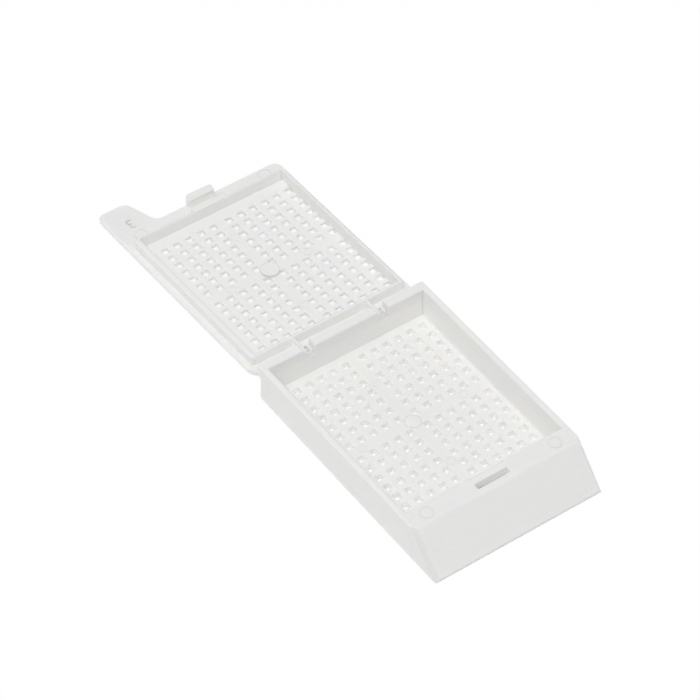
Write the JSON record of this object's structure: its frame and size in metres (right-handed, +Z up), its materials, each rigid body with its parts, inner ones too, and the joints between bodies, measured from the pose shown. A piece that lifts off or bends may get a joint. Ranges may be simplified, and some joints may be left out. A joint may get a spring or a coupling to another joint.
{
  "type": "tissue embedding cassette",
  "caption": "Perforated plastic specimen tray with a sloped writing face and a hinged perforated lid that snaps shut; shown open.",
  "frame": {"origin": "on the tray's flat underside, at mid width and in the middle of the specimen well", "axes": "+Z up out of the well, +Y from the writing slope to the hinge and the opened lid, +X to the right when seen from the writing slope"},
  "size_m": [0.0286, 0.0827, 0.0059],
  "materials": {
    "white_acetal": "semi-matte moulded white acetal, slightly glossy on the well's walls"
  },
  "bodies": {
    "tray": {"base_tray": "white_acetal", "hinge_strap_left": "white_acetal", "hinge_strap_right": "white_acetal"},
    "lid": {"lid": "white_acetal"}
  },
  "joints": [
    {"name": "lid_hinge", "type": "hinge", "parent": "tray", "child": "lid", "pos_m": [0, 0.01729, 0.00443], "axis": [1, 0, 0], "range_deg": [0, 182.8], "deforming": ["hinge_strap_left", "hinge_strap_right"]}
  ]
}
